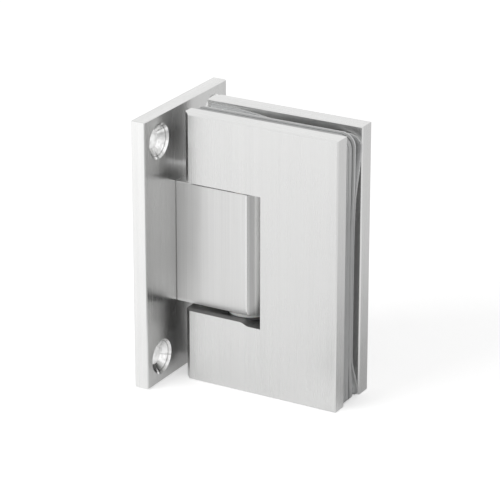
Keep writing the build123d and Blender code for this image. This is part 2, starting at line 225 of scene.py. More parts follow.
ARM_MARGIN = 1.5 * MM
EAR_STEPS = 25
MOUTH_STEPS = 7
ARM_STEPS = 9
FAN_STEPS = 61
SIDE_STEPS = 49
EDGE_ROUND = 0.10
WALL_POINTS = (0.48, 0.40)
PAINTED_LIGHT_ATTRIBUTE = "tone"
# Painted highlights and shade on the sheets' outer edges, fading downwards
TOP_EDGE_SHADING = ((0.90, 0.90), (0.90, 0.95), (0.95, 1.65), (1.30, 1.50))
FAR_EDGE_SHADING = ((1.30, 1.25), (1.35, 1.30), (0.95, 1.90), (1.50, 1.60))
FAR_START = (58 * MM, 63 * MM)
RIM_RISE = (14 * MM, 32 * MM)
RIM_FAINT = 0.12
BOW_BRIGHT = 0.95
FLARE_BRIGHT = 1.3
SWAY_SHARES = (0.1, 0.4, 1.0, 1.0)
LOWER_SHARES = (0.0, 0.0, 0.15, 1.0)
ROUND_STEPS = 4
SHEET_STEPS = 16
TINY = 1e-9

# Studio

PHOTO_WIDTH_PX = 500
SENSOR_WIDTH = 36.0
CLIP_NEAR = 0.1
CLIP_FAR = 20.0
KEY_PLACE = (-0.45, -0.75, 0.60)
KEY_SIZE = (0.7, 0.5)
FILL_PLACE = (0.80, 0.30, 0.45)
FILL_SIZE = (0.5, 0.5)
# Painted shade in the floor's reflections: a wedge in front, and a field at the back right, deeper near the object
FIELD_TIP = (45 * MM, -5 * MM)
WEDGE_LEFT = (-0.10, 0.15)
WEDGE_RIGHT = (1.1, 1.5)
WEDGE_FRONT = (30 * MM, 55 * MM)
WEDGE_DEPTH = 0.48
BACK_X = (56 * MM, 66 * MM)
BACK_Y = (-20 * MM, 10 * MM)
BACK_NEAR = (70 * MM, 130 * MM)
BACK_END = (0.3, 0.7)
BACK_DEPTH = 0.16
BACK_NEAR_DEPTH = 0.24


def middle(node):
    """Middle of a CAD node's box."""
    low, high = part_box(node)
    return [(a + b) / 2 for a, b in zip(low, high)]


# Shader trees: a class for a socket, one for a node tree, one for a material


class Value:
    """An output socket that carries a number; arithmetic on it adds Math nodes."""

    def __init__(self, tree, socket):
        self.tree = tree
        self.socket = socket

    def math(self, operation, *numbers):
        """A Math node on numbers or sockets."""
        return self.tree.add("ShaderNodeMath", {"operation": operation}, dict(enumerate(numbers)))

    def __add__(self, other):
        return self.math("ADD", self, other)

    def __radd__(self, other):
        return self.math("ADD", other, self)

    def __sub__(self, other):
        return self.math("SUBTRACT", self, other)

    def __rsub__(self, other):
        return self.math("SUBTRACT", other, self)

    def __mul__(self, other):
        return self.math("MULTIPLY", self, other)

    def __rmul__(self, other):
        return self.math("MULTIPLY", other, self)

    def __truediv__(self, other):
        return self.math("DIVIDE", self, other)

    def __rtruediv__(self, other):
        return self.math("DIVIDE", other, self)

    def __abs__(self):
        return self.math("ABSOLUTE", self)

    def __gt__(self, other):
        return self.math("GREATER_THAN", self, other)

    def __lt__(self, other):
        return self.math("LESS_THAN", self, other)

    def root(self):
        """Square root."""
        return self.math("SQRT", self)

    def either(self, other):
        """The larger of two numbers."""
        return self.math("MAXIMUM", self, other)

    def step(self, low, high):
        """0 below low, 1 above high and a smooth rise between them."""
        settings = {"interpolation_type": "SMOOTHSTEP"}
        inputs = {"Value": self, "From Min": low, "From Max": high}
        return self.tree.add("ShaderNodeMapRange", settings, inputs)


class Tree:
    """A node tree that is built node by node."""

    def __init__(self, node_tree):
        self.nodes = node_tree.nodes
        self.links = node_tree.links

    def fill(self, socket, given):
        """Links a Value to a socket, or sets the socket to a plain value."""
        if isinstance(given, Value):
            self.links.new(given.socket, socket)
        else:
            socket.default_value = given

    def node(self, kind, settings=None, inputs=None):
        """One node of a kind: its settings first, then its sockets."""
        node = self.nodes.new(kind)
        for key, setting in (settings or {}).items():
            setattr(node, key, setting)
        for key, given in (inputs or {}).items():
            self.fill(node.inputs[key], given)
        return node

    def add(self, kind, settings=None, inputs=None, output=0):
        """One node of a kind; gives back one of its outputs."""
        return Value(self, self.node(kind, settings, inputs).outputs[output])

    def outputs(self, kind, names, inputs=None):
        """One node of a kind; gives back several of its outputs."""
        node = self.node(kind, None, inputs)
        return [Value(self, node.outputs[name]) for name in names]

    def blend(self, first, second, share):
        """A colour between two colours."""
        return self.add("ShaderNodeMix", {"data_type": "RGBA"}, {0: share, 6: first, 7: second}, 2)

    def shade(self, colour, level):
        """A colour scaled by a number."""
        return self.add("ShaderNodeVectorMath", {"operation": "SCALE"}, {0: colour, "Scale": level})


class Finish(Tree):
    """A material with one Principled surface."""

    def __init__(self, name):
        self.material = bpy.data.materials.new(name)
        self.material.use_nodes = True
        super().__init__(self.material.node_tree)
        self.surface = self.nodes["Principled BSDF"]

    def place(self):
        """Object coordinates, in metres, in the hinge's own frame."""
        return self.add("ShaderNodeTexCoord", output="Object")

    def parts(self, vector):
        """X, Y and Z of a vector."""
        return self.outputs("ShaderNodeSeparateXYZ", ("X", "Y", "Z"), {0: vector})

    def facing(self):
        """X, Y and Z of the flat face's own normal."""
        return self.parts(self.add("ShaderNodeNewGeometry", output="True Normal"))

    def noise(self, place, scale, detail=PLAIN_DETAIL, rough=0.5):
        """Noise between 0 and 1, with its own scale along each axis."""
        stretched = self.add("ShaderNodeVectorMath", {"operation": "MULTIPLY"}, {0: place, 1: scale})
        inputs = {"Vector": stretched, "Scale": 1.0, "Detail": detail, "Roughness": rough}
        return self.add("ShaderNodeTexNoise", {"noise_dimensions": "3D"}, inputs)

    def rings(self, along, pitch):
        """Noise between 0 and 1 that varies only with one number, at a pitch."""
        inputs = {"W": along / pitch, "Scale": 1.0, "Detail": PLAIN_DETAIL}
        return self.add("ShaderNodeTexNoise", {"noise_dimensions": "1D"}, inputs)

    def bump(self, height, distance):
        """A normal from a height between 0 and 1, in metres at 1."""
        return self.add("ShaderNodeBump", None, {"Height": height, "Strength": 1.0, "Distance": distance})

    def set(self, **inputs):
        """Fills the Principled surface's sockets, named with underscores for spaces."""
        for key, given in inputs.items():
            self.fill(self.surface.inputs[key.replace("_", " ")], given)
        return self


def grey(level):
    """An opaque neutral colour."""
    return (level, level, level, 1.0)


def dress(nodes, finish):
    """Puts a finish on CAD nodes and smooths their round faces, up to the angle of the edges."""
    for name in nodes:
        piece = frame["nodes"][name]
        mesh = piece.data
        mesh.materials.clear()
        mesh.materials.append(finish.material)
        mesh.polygons.foreach_set("use_smooth", np.ones(len(mesh.polygons), bool))
        weld = piece.modifiers.new("joined corners", "WELD")
        weld.merge_threshold = WELD_DISTANCE
        split = piece.modifiers.new("sharp edges", "EDGE_SPLIT")
        split.split_angle = SHARP_ANGLE


# Sizes and colours


class HingeFinish(bpy.types.PropertyGroup):
    """Colours and grain of the metal and plastic pieces."""

    steel: FloatVectorProperty(
        name="Brushed steel", description="Reflection of the brushed faces", subtype="COLOR",
        size=3, min=0, max=1, default=(0.76, 0.76, 0.755),
    )
    plate_roughness: FloatProperty(
        name="Clamp roughness", description="Mean roughness of the clamp plates",
        min=0, max=1, default=0.28,
    )
    wall_roughness: FloatProperty(
        name="Wall plate roughness", description="Mean roughness of the wall plate",
        min=0, max=1, default=0.26,
    )
    block_roughness: FloatProperty(
        name="Block roughness", description="Mean roughness of the pivot block",
        min=0, max=1, default=0.33,
    )
    steel_stretch: FloatProperty(
        name="Brushed stretch", description="How far highlights spread across the grain",
        min=0, max=1, default=0.3,
    )
    grain_width: FloatProperty(
        name="Grain width", description="Width of one brush mark", unit="LENGTH", default=0.22 * MM,
    )
    grain_length: FloatProperty(
        name="Grain length", description="Length of one brush mark", unit="LENGTH", default=45 * MM,
    )
    grain_depth: FloatProperty(
        name="Grain depth", description="Height of the brush marks", unit="LENGTH", default=0.0012 * MM,
    )
    polished: FloatVectorProperty(
        name="Polished steel", description="Reflection of the countersinks", subtype="COLOR",
        size=3, min=0, max=1, default=(0.91, 0.91, 0.905),
    )
    screw_steel: FloatVectorProperty(
        name="Screw steel", description="Reflection of the screws", subtype="COLOR",
        size=3, min=0, max=1, default=(0.63, 0.63, 0.62),
    )
    nylon: FloatVectorProperty(
        name="Bush nylon", description="Colour of the bushes", subtype="COLOR",
        size=3, min=0, max=1, default=(0.62, 0.62, 0.61),
    )
    washer_nylon: FloatVectorProperty(
        name="Washer nylon", description="Colour of the thrust washers", subtype="COLOR",
        size=3, min=0, max=1, default=(0.10, 0.10, 0.102),
    )
    spring_blue: FloatVectorProperty(
        name="Spring steel", description="Reflection of the leaf springs", subtype="COLOR",
        size=3, min=0, max=1, default=(0.36, 0.37, 0.42),
    )


class HingeGaskets(bpy.types.PropertyGroup):
    """Outline, waves and colour of the gaskets."""

    colour: FloatVectorProperty(
        name="Vinyl", description="Tint of the clear grey vinyl", subtype="COLOR",
        size=3, min=0, max=1, default=(0.47, 0.475, 0.475),
    )
    upper_corner: FloatProperty(
        name="Upper corner radius", description="Radius of the upper far corner",
        unit="LENGTH", default=4.3 * MM,
    )
    lower_corner: FloatProperty(
        name="Lower corner radius", description="Radius of the lower far corner",
        unit="LENGTH", default=1.5 * MM,
    )
    mouth_corner: FloatProperty(
        name="Mouth corner radius", description="Radius of the two corners near the wall",
        unit="LENGTH", default=0.6 * MM,
    )
    cut_depth: FloatProperty(
        name="Cut-out depth",
        description="From the clamp plate's wall-side edge to the end of the cut-out",
        unit="LENGTH", default=30.5 * MM,
    )
    cut_half: FloatProperty(
        name="Cut-out half height", description="Half the height of the cut-out",
        unit="LENGTH", default=34.25 * MM,
    )
    ear: FloatProperty(
        name="Ear radius", description="Radius cut round each screw boss",
        unit="LENGTH", default=5.7 * MM,
    )
    rear_drop: FloatProperty(
        name="Rear sheet drop",
        description="How far the rear sheet's top edge slopes down to the far side",
        unit="LENGTH", default=1.8 * MM,
    )
    sway_upper: FloatProperty(
        name="Upper sway", description="How far the stack's back stands off at the top",
        unit="LENGTH", default=1.1 * MM,
    )
    sway_lower: FloatProperty(
        name="Lower sway", description="How far the stack's back stands off at the bottom",
        unit="LENGTH", default=0.58 * MM,
    )
    sway_middle: FloatProperty(
        name="Middle sway", description="How far the stack's back stands off in the middle",
        unit="LENGTH", default=0.1 * MM,
    )
    upper_rise: FloatVectorProperty(
        name="Upper rise", description="Heights between which the upper sway sets in",
        subtype="TRANSLATION", size=2, default=(4 * MM, 34 * MM),
    )
    lower_rise: FloatVectorProperty(
        name="Lower rise", description="Depths between which the lower sway sets in",
        subtype="TRANSLATION", size=2, default=(30 * MM, 44 * MM),
    )
    bow: FloatProperty(
        name="Bow", description="How far the rear sheet bows out near the wall",
        unit="LENGTH", default=3.2 * MM,
    )
    bow_range: FloatVectorProperty(
        name="Bow range", description="Distances from the wall between which the bow falls to nothing",
        subtype="TRANSLATION", size=2, default=(19 * MM, 43 * MM),
    )
    flare_width: FloatVectorProperty(
        name="Flare widths", description="How far from the far edge the upper and the lower flare reach",
        subtype="TRANSLATION", size=2, default=(12 * MM, 24 * MM),
    )
    flare_upper: FloatVectorProperty(
        name="Upper flare",
        description="Heights on the far edge between which the sheet bends to the rear plate",
        subtype="TRANSLATION", size=2, default=(20 * MM, 39.5 * MM),
    )
    flare_lower: FloatVectorProperty(
        name="Lower flare",
        description="Depths on the far edge between which the sheet bends to the rear plate",
        subtype="TRANSLATION", size=2, default=(30 * MM, 45.5 * MM),
    )
    plate_gap: FloatProperty(
        name="Gap to the plate", description="Least gap between the rear sheet and the rear plate",
        unit="LENGTH", default=0.03 * MM,
    )


class HingeStudio(bpy.types.PropertyGroup):
    """Camera, floor and lights."""

    yaw: FloatProperty(
        name="Yaw", description="Camera's turn round the hinge",
        subtype="ANGLE", default=math.radians(29.83),
    )
    pitch: FloatProperty(
        name="Pitch", description="Camera's height above level",
        subtype="ANGLE", default=math.radians(21.53),
    )
    distance: FloatProperty(
        name="Distance", description="From the camera to the target", unit="LENGTH", default=873.2 * MM,
    )
    focal_px: FloatProperty(
        name="Focal length", description="In pixels of a picture 500 pixels wide", default=2758.0,
    )
    target: FloatVectorProperty(
        name="Target", description="The point that the camera looks at", subtype="TRANSLATION",
        size=3, default=(28.05 * MM, 0.0, -1.0 * MM),
    )
    floor_size: FloatProperty(
        name="Floor size", description="Side of the floor", unit="LENGTH", default=6.0,
    )
    floor_colour: FloatProperty(
        name="Floor", description="Reflection of the pale floor", min=0, max=1, default=0.8,
    )
    floor_glow: FloatProperty(
        name="Floor to the camera", description="Light that whitens the floor in the camera's view",
        default=0.45,
    )
    floor_shine: FloatProperty(
        name="Floor in reflections", description="Light that whitens the floor in metal and vinyl",
        default=0.25,
    )
    seamless_light: FloatProperty(
        name="Surround", description="Brightness of the surround on matt faces", default=0.6,
    )
    key_light: FloatProperty(name="Key", description="Brightness of the large soft light", default=4.5)
    fill_light: FloatProperty(
        name="Fill", description="Brightness of the soft light from the right", default=0.8,
    )


# Finishes


def brushed_steel(name, roughness, top_axis, strength):
    """Brushed stainless steel: vertical marks on upright faces, marks along top_axis on level ones.

    The marks are noise squeezed to the grain's width across them and drawn out to its length along
    them. They feed a faint bump, and shift roughness and tone by a few percent times strength. The
    finish keeps its marks, tone, roughness, coordinates and face directions for what is laid over it.
    """
    settings = bpy.context.scene.hinge_finish
    finish = Finish(name)
    place = finish.place()
    across = 1 / settings.grain_width
    along = 1 / settings.grain_length
    upright = (across, across, along)
    level = (along, across, across) if top_axis == "X" else (across, along, across)
    facing = finish.facing()
    is_level = abs(facing[2]) > LEVEL_FACE
    upright_marks = finish.noise(place, upright, rough=MARK_CRISPNESS)
    level_marks = finish.noise(place, level, rough=MARK_CRISPNESS)
    broad = finish.noise(place, tuple(scale / BROAD_GRAIN for scale in upright)) - 0.5
    cloud = finish.noise(place, (CLOUD_SCALE,) * 3) - 0.5
    marks = (upright_marks * (1 - is_level) + level_marks * is_level - 0.5) * strength
    finish.marks = marks
    finish.tone = 1 + marks * MARK_TONE + broad * (BROAD_TONE * strength) + cloud * CLOUD_TONE
    finish.rough = roughness + marks * MARK_ROUGHNESS + cloud * CLOUD_ROUGHNESS
    finish.where = finish.parts(place)
    finish.face = facing
    return finish.set(
        Base_Color=finish.shade((*settings.steel,), finish.tone),
        Metallic=1.0,
        Roughness=finish.rough,
        Anisotropic=settings.steel_stretch,
        Normal=finish.bump(marks, settings.grain_depth),
    )


def wall_plate_finish():
    """Brushed steel with a painted sheen on its ground edges, and countersinks turned bright.

    reach is the distance from the nearest hole's axis. A face that isn't flat is turned between the
    bore's and the countersink's radius, and drilled and duller within the bore's. The turned cone has
    the cutter's rings, painted reflections as streaks that vary with the angle round the axis and as
    blotches, and a dark groove near its rim. The flat face has painted shade that darkens it downwards.
    """
    settings = bpy.context.scene.hinge_finish
    finish = brushed_steel("wall plate steel", settings.wall_roughness, "Y", WALL_MARKS)
    _, y, z = finish.where
    across = abs(y) - HOLES["spacing_x_mm"] / 2 * MM
    up = abs(z) - HOLES["spacing_y_mm"] / 2 * MM
    reach = (across * across + up * up).root()
    within = 1 - reach.step(COUNTERSINK_RADIUS - RIM_BLUR, COUNTERSINK_RADIUS)
    hole = within * (abs(finish.face[0]) < FLAT_FACE)
    bore = hole * (1 - reach.step(BORE_RADIUS, BORE_RADIUS + RIM_BLUR))
    rings = finish.rings(reach, RING_PITCH)
    # Painted reflections on the turned cone: sectors round the axis and blotches
    reflection_sectors = finish.rings(across.math("ARCTAN2", across, up), 1 / SWIRL_SCALE)
    reflection_blotches = finish.noise(finish.place(), BLOTCH_SCALE, FINE_DETAIL)
    groove = abs(reach - GROOVE_RADIUS) < GROOVE_HALF_WIDTH
    # Painted sheen: the edge faces are lightened
    edge = 1 + (abs(finish.face[1]) > SIDE_FACE) * (EDGE_SHEEN_TONE - 1) * (1 - hole)
    # Painted shade: the flat face darkens towards the bottom
    low_shade = 1 - (finish.face[0] > SIDE_FACE) * (1 - z.step(*FACE_FADE)) * FACE_FADE_DEPTH
    streaks = (rings - 0.5) * RING_TONE + (reflection_sectors - 0.5) * SWIRL_TONE + (reflection_blotches - 0.5) * BLOTCH_TONE
    turned_tone = (1 + streaks - groove * GROOVE_DARK) * (1 - bore * (1 - BORE_TONE))
    bore_rough = bore * (BORE_ROUGHNESS - POLISHED_ROUGHNESS)
    turned_rough = POLISHED_ROUGHNESS + rings * RING_ROUGHNESS + bore_rough
    return finish.set(
        Base_Color=finish.blend(
            finish.shade((*settings.steel,), finish.tone * edge * low_shade),
            finish.shade((*settings.polished,), turned_tone),
            hole,
        ),
        Roughness=finish.rough * (1 - hole) + turned_rough * hole,
        Normal=finish.bump(finish.marks * (1 - hole), settings.grain_depth),
    )


def block_finish():
    """Brushed steel, with a painted highlight where the flat sides meet the round nose, and painted
    light along their lower edge.

    The sides have a patch of painted light between the foot and the middle. The nose has painted
    shade up to a painted highlight line, and painted light past it.
    """
    settings = bpy.context.scene.hinge_finish
    finish = brushed_steel("pivot block steel", settings.block_roughness, "X", BLOCK_MARKS)
    x, _, z = finish.where
    side = abs(finish.face[1]) > SIDE_FACE
    # Painted highlight: a thin bright line where the flat sides meet the nose
    edge_highlight = (abs(x - NOSE_EDGE) < EDGE_HIGHLIGHT_HALF_WIDTH) * side
    # Painted light along the lower edge of the sides
    lower_edge_light = (-1 * z).step(*LOWER_EDGE_BAND) * side
    # Painted shade on the nose up to a painted highlight line, and painted light past it
    bright = x.step(NOSE_LINE - NOSE_BLUR, NOSE_LINE) * NOSE_HIGHLIGHT
    past = x.step(NOSE_LINE, NOSE_LINE + NOSE_BLUR) * NOSE_FADE
    nose = bright - past - x.step(*NOSE_START) * NOSE_SHADE
    # Painted light: a lighter patch on the sides between the foot and the middle
    clear = x.step(*LIGHT_PATCH_FROM) * (1 - x.step(*LIGHT_PATCH_TO)) * side
    lines = edge_highlight * (EDGE_HIGHLIGHT_TONE - 1) + lower_edge_light * LOWER_EDGE_LIGHT
    tone = finish.tone * (1 + lines + clear * LIGHT_PATCH_TONE + nose)
    return finish.set(
        Base_Color=finish.shade((*settings.steel,), tone),
        Roughness=finish.rough * (1 - edge_highlight * EDGE_HIGHLIGHT_POLISH),
    )


def clamp_plate_finish():
    """Brushed steel, with painted shade on the notch's floor and ceiling.

    The faces within the glass slot and the rear plate's end towards the wall are duller too. The slot's
    faces are lightened with painted light, and the rear plate's end is darker.
    """
    settings = bpy.context.scene.hinge_finish
    finish = brushed_steel("clamp plate steel", settings.plate_roughness, "X", CLAMP_MARKS)
    x, y, z = finish.where
    # Painted shade on the notch's floor and ceiling
    notch = (x < NOTCH_END) * (abs(z) < NOTCH_HALF) * (abs(finish.face[2]) > NOTCH_FACE)
    # Painted light lifts the faces within the glass slot
    slot = (abs(y) < SLOT_REACH) * (abs(finish.face[1]) > SIDE_FACE)
    wall_end = (finish.face[0] < -SIDE_FACE) * (y > 0)
    plate_tone = 1 - notch * (1 - NOTCH_SHADE) + slot * (SLOT_LIGHT - 1) - wall_end * (1 - WALL_END_TONE)
    return finish.set(
        Base_Color=finish.shade((*settings.steel,), finish.tone * plate_tone),
        Roughness=finish.rough + notch.either(slot).either(wall_end) * MILLED_ROUGHNESS,
    )


def turned_steel(name, nodes, colour, roughness, axis):
    """Turned steel with a lathe's fine rings round each node's axis and along it, and a faint mottle.

    The nodes share one direction of axis. Their axes stand at like places on either side of a middle,
    so folding the coordinates at that middle gives the distance from the nearest axis.
    """
    finish = Finish(name)
    place = finish.place()
    parts = finish.parts(place)
    middles = np.array([middle(node) for node in nodes])
    centre = (middles.max(0) + middles.min(0)) / 2
    half = (middles.max(0) - middles.min(0)) / 2
    folded = [abs(abs(parts[i] - centre[i]) - half[i]) for i in range(3) if i != axis]
    reach = (folded[0] * folded[0] + folded[1] * folded[1]).root()
    along_rings = finish.rings(parts[axis], LATHE_PITCH)
    face_rings = finish.rings(reach, FACE_PITCH)
    mottle = finish.noise(place, (MOTTLE_SCALE,) * 3, FINE_DETAIL) - 0.5
    rings = along_rings - 0.5 + face_rings - 0.5
    return finish.set(
        Base_Color=finish.shade((*colour,), 1 + rings * LATHE_TONE + mottle * MOTTLE_TONE),
        Metallic=1.0,
        Roughness=roughness + rings * LATHE_ROUGHNESS + mottle * MOTTLE_ROUGHNESS,
        Normal=finish.bump(rings, LATHE_DEPTH),
    )


def nylon_finish(name, colour):
    """Moulded nylon: matt, with slow cloudiness and a fine moulded skin."""
    finish = Finish(name)
    place = finish.place()
    cloud = finish.noise(place, (NYLON_CLOUD,) * 3)
    skin = finish.noise(place, (NYLON_SKIN,) * 3)
    return finish.set(
        Base_Color=finish.shade((*colour,), NYLON_TONE + cloud * NYLON_TONE_SPREAD),
        Roughness=NYLON_ROUGHNESS + skin * NYLON_ROUGHNESS_SPREAD,
        Subsurface_Weight=NYLON_SCATTER,
        Subsurface_Scale=NYLON_SCATTER_DEPTH,
        Normal=finish.bump(skin, NYLON_SKIN_DEPTH),
    )


def gasket_finish():
    """Clear grey vinyl sheet: lets some light through, cloudy inside, with a soft satin skin.

    The mesh's tone attribute holds painted highlights and painted shade that lighten and darken it.
    """
    settings = bpy.context.scene.hinge_gaskets
    finish = Finish("clear grey vinyl")
    place = finish.place()
    cloud = finish.noise(place, (VINYL_CLOUD,) * 3)
    skin = finish.noise(place, (VINYL_SKIN,) * 3)
    tone = finish.add("ShaderNodeAttribute", {"attribute_name": PAINTED_LIGHT_ATTRIBUTE}, output="Fac")
    return finish.set(
        Base_Color=finish.shade((*settings.colour,), tone * (VINYL_TONE + cloud * VINYL_TONE_SPREAD)),
        Roughness=VINYL_ROUGHNESS + skin * VINYL_ROUGHNESS_SPREAD,
        Transmission_Weight=VINYL_CLEARNESS,
        IOR=VINYL_IOR,
        Normal=finish.bump(skin, VINYL_SKIN_DEPTH),
    )


# Gasket surface


def smooth_step(values, low, high):
    """0 below low, 1 above high, and 3v^2 - 2v^3 of the share v between them."""
    share = np.clip((values - low) / (high - low), 0.0, 1.0)
    return share * share * (3 - 2 * share)


def far_crossing(start, ray, centre, radius):
    """Distance along each ray to the far side of a circle, or 0 where the ray misses it."""
    offset = centre - start
    along = ray @ offset
    spare = along**2 - offset @ offset + radius**2
    return np.where(spare > 0, along + np.sqrt(np.maximum(spare, 0.0)), 0.0)


def half_edges(settings, near, far, height, corner, drop, screw_near, screw_far):
    """Matching points of a gasket's outer edge and of its cut-out, from the mouth to half its height.

    Heights count away from the middle. The arm goes straight down from the outer edge: at each x the
    outer point is (x, height), lowered by a quarter circle at the mouth, and the inner point is the
    higher of the cut-out's edge and the ear's circle. Round the far corner both points lie on a ray
    from a fan point: the outer one on the rounded corner, the inner one on the cut-out's corner or
    the ear. Down the far side both have the same height. Above the cut-out the outer edge slopes
    down, by drop from the mouth to the far side.
    """
    cut_far = FRONT_PLATE[0][0] + settings.cut_depth
    fan = np.array([(screw_near[0] + screw_far[0]) / 2, settings.cut_half - settings.ear - ARM_MARGIN])

    ear_turn = np.linspace(-math.pi / 2, math.pi / 2, EAR_STEPS)
    mouth_turn = np.linspace(0.0, math.pi / 2, MOUTH_STEPS)
    x = np.concatenate([
        near + settings.mouth_corner * (1 - np.cos(mouth_turn)),
        screw_near[0] + settings.ear * np.sin(ear_turn),
        np.linspace(screw_near[0] + settings.ear, fan[0], ARM_STEPS)[1:],
    ])
    x = np.unique(np.round(x[x >= near], 7))
    mouth = np.clip(1 - (x - near) / settings.mouth_corner, 0.0, 1.0)
    outer_z = height - settings.mouth_corner * (1 - np.sqrt(1 - mouth**2))
    ear_reach = np.clip(1 - ((x - screw_near[0]) / settings.ear) ** 2, 0.0, 1.0)
    ear_z = np.where(ear_reach > 0, screw_near[1] + settings.ear * np.sqrt(ear_reach), 0.0)
    arm_outer = np.stack([x, outer_z], 1)
    arm_inner = np.stack([x, np.maximum(settings.cut_half, ear_z)], 1)

    turn = np.linspace(math.pi / 2, 0.0, FAN_STEPS)[1:]
    ray = np.stack([np.cos(turn), np.sin(turn)], 1)
    to_top = (height - fan[1]) / np.maximum(ray[:, 1], TINY)
    to_far = (far - fan[0]) / np.maximum(ray[:, 0], TINY)
    straight = np.minimum(to_top, to_far)
    flat_corner = fan + ray * straight[:, None]
    in_arc = (flat_corner[:, 0] > far - corner) & (flat_corner[:, 1] > height - corner)
    arc = far_crossing(fan, ray, np.array([far - corner, height - corner]), corner)
    outer_reach = np.where(in_arc, arc, straight)
    to_cut_top = (settings.cut_half - fan[1]) / np.maximum(ray[:, 1], TINY)
    to_cut_far = (cut_far - fan[0]) / np.maximum(ray[:, 0], TINY)
    ear_arc = far_crossing(fan, ray, np.array(screw_far), settings.ear)
    inner_reach = np.maximum(np.minimum(to_cut_top, to_cut_far), ear_arc)

    side_z = np.linspace(fan[1], 0.0, SIDE_STEPS)[1:]
    side_outer = np.stack([np.full_like(side_z, far), side_z], 1)
    side_inner = np.stack([np.full_like(side_z, cut_far), side_z], 1)
    outer = np.concatenate([arm_outer, fan + ray * outer_reach[:, None], side_outer])
    slope = drop * (outer[:, 0] - near) / (far - near)
    above_cut = (outer[:, 1] - settings.cut_half) / (height - settings.cut_half)
    outer[:, 1] -= slope * np.clip(above_cut, 0.0, 1.0)
    inner = np.concatenate([arm_inner, fan + ray * inner_reach[:, None], side_inner])
    return outer, inner


def gasket_edges(settings, low, high, drop):
    """A gasket's outer edge and its cut-out, from the upper arm's mouth round to the lower arm's."""
    screws = {}
    for name in CLAMP_SCREWS:
        centre = middle(name)
        screws[name] = (centre[0], abs(centre[2]))
    upper = half_edges(
        settings, low[0], high[0], high[2], settings.upper_corner, drop,
        screws["clamp_screw_upper_near"], screws["clamp_screw_upper_far"],
    )
    lower = half_edges(
        settings, low[0], high[0], -low[2], settings.lower_corner, 0.0,
        screws["clamp_screw_lower_near"], screws["clamp_screw_lower_far"],
    )
    mirror = np.array([1.0, -1.0])
    return [np.concatenate([above, below[-2::-1] * mirror]) for above, below in zip(upper, lower)]


def sheet_profile(thickness):
    """Closed section of a sheet from its outer to its inner edge, with four small quarter rounds.

    Each point is (share of the sheet's width, distance added to it, height through the sheet). The
    section starts and ends partway through the outer edge's thickness.
    """
    radius = thickness * EDGE_ROUND
    quarter = np.linspace(0.0, math.pi / 2, ROUND_STEPS)
    zero = np.zeros_like(quarter)
    rounding = np.stack([zero, radius * (1 - np.cos(quarter)), radius * (1 - np.sin(quarter))], 1)
    wall = [[0.0, 0.0, thickness * share] for share in WALL_POINTS]
    front_outer = np.concatenate([wall, rounding])
    shares = np.linspace(0.0, 1.0, SHEET_STEPS)[1:-1]
    front_face = np.stack([shares, shares * 0, shares * 0], 1)
    front_inner = front_outer[::-1] * np.array([1.0, -1.0, 1.0]) + np.array([1.0, 0.0, 0.0])
    front = np.concatenate([front_outer, front_face, front_inner])
    back = front[::-1] * np.array([1.0, 1.0, -1.0]) + np.array([0.0, 0.0, thickness])
    return np.concatenate([front, back])


def closed_strip(name, rings):
    """A mesh from rings of points, each ring closed, with the first and last ring capped.

    rings has the shape (stations, points, 3). Its ends are filled with quads between the ring's halves.
    """
    stations, points, _ = rings.shape
    index = np.arange(stations * points).reshape(stations, points)
    a = index[:-1]
    b = index[1:]
    walls = np.stack([a, np.roll(a, -1, 1), np.roll(b, -1, 1), b], -1).reshape(-1, 4)
    low = np.arange(points // 2 - 1)
    cap = np.stack([low, points - 1 - low, points - 2 - low, low + 1], 1)
    faces = np.concatenate([walls, index[0][cap], index[-1][cap][:, ::-1]])
    mesh = bpy.data.meshes.new(name)
    mesh.from_pydata(rings.reshape(-1, 3), [], faces.tolist())
    mesh.update()
    mesh.polygons.foreach_set("use_smooth", np.ones(len(mesh.polygons), bool))
    piece = bpy.data.objects.new(name, mesh)
    bpy.context.scene.collection.objects.link(piece)
    return piece


def lift_shares(settings, far, x, z):
    """The rear sheet's bow and its upper and lower flare at x and z, each as a share of the whole.

    The bow is a smooth step down, away from the wall. A flare is a smooth step past a line that slants
    across a far corner: it starts at the flare's width from the far edge.
    """
    bow = 1 - smooth_step(x, *settings.bow_range)
    ranges = (settings.flare_upper, settings.flare_lower)
    flares = []
    for height, (low, high), width in zip((z, -z), ranges, settings.flare_width):
        slant = (far - x) / width * (high - low)
        flares.append(smooth_step(height - slant, low, high))
    return bow, *flares


def gasket_wave(settings, order, shares, room, z):
    """How far a gasket stands off its flat place, at height z.

    The stack's back sways off by smooth steps of the height: more at the top, a little at the bottom.
    Each sheet takes its share of that, and of the room to the rear plate in the lower flare. The rear
    thin sheet adds the bow, and takes all the room in both flares.
    """
    above = (settings.sway_upper - settings.sway_middle) * smooth_step(z, *settings.upper_rise)
    below = (settings.sway_lower - settings.sway_middle) * smooth_step(-z, *settings.lower_rise)
    sway = (settings.sway_middle + above + below) * SWAY_SHARES[order]
    bow, upper, lower = shares
    lift = lower * LOWER_SHARES[order]
    if order == len(GASKETS) - 1:
        sway = sway + settings.bow * bow
        lift = np.maximum(upper, lift)
    return np.minimum(sway + (room - sway) * lift, room)


